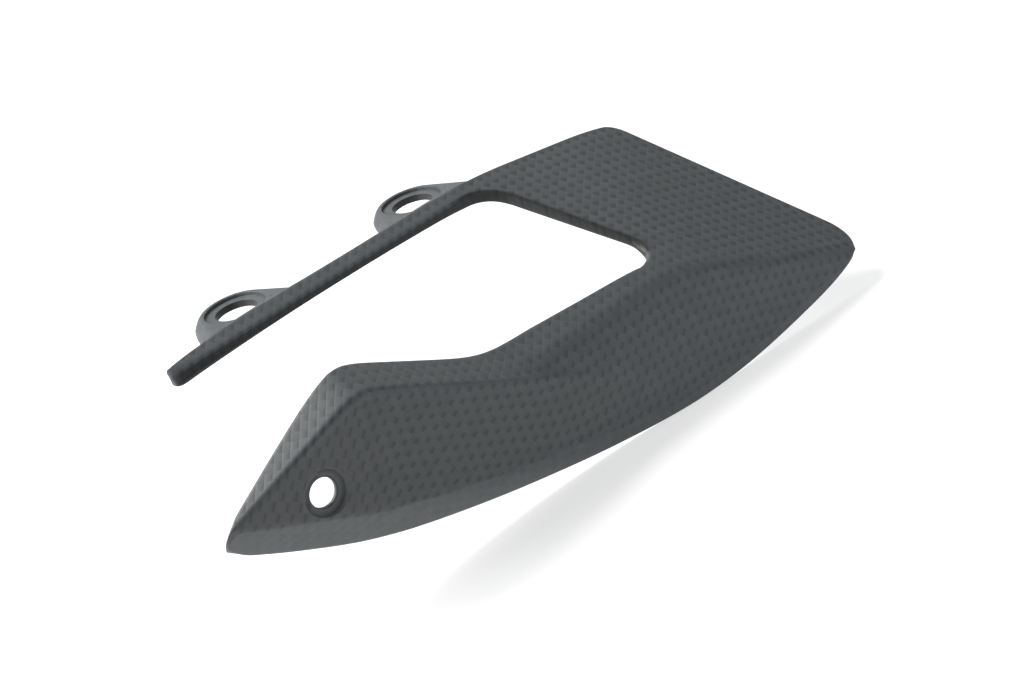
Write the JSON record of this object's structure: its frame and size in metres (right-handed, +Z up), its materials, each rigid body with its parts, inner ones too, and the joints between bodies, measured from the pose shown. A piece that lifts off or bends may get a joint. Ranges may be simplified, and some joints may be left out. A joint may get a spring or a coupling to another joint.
{
  "type": "chain guard",
  "caption": "One-piece moulded motorcycle chain guard: sloping top plate with an open side slot, folded outer wall, two bolt ears.",
  "frame": {"origin": "middle of the front ear's bolt hole", "axes": "+Z up along the ear bolts, +X to the rear along the arm, -Y to the outer side"},
  "size_m": [0.186, 0.0712, 0.0563],
  "materials": {
    "carbon": "matt"
  },
  "bodies": {
    "root": {"guard_shell": "carbon"}
  },
  "joints": []
}
